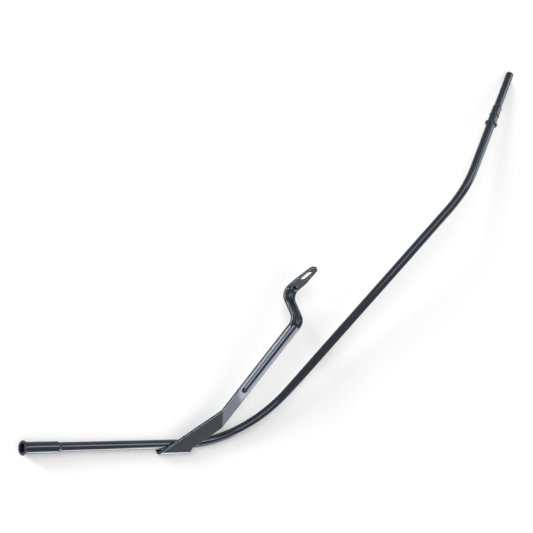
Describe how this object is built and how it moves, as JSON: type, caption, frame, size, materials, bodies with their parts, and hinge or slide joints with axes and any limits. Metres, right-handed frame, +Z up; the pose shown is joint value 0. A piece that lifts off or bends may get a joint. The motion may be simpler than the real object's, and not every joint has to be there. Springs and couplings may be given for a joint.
{
  "type": "engine oil dipstick tube",
  "caption": "Bent steel guide tube for an engine oil dipstick, with a flared mouth, a sealing end with a stop bead, and a ribbed bracket with a slotted eye.",
  "frame": {"origin": "on the ground, under the middle of the part's box as it lies at rest", "axes": "+X from the mouth towards the block end, +Z up, +Y to the left of +X"},
  "size_m": [0.66, 0.1882, 0.0529],
  "materials": {
    "paint": "gloss"
  },
  "bodies": {
    "root": {"guide_tube": "paint", "bracket": "paint", "upper_weld": "paint", "lower_weld": "paint"}
  },
  "joints": []
}
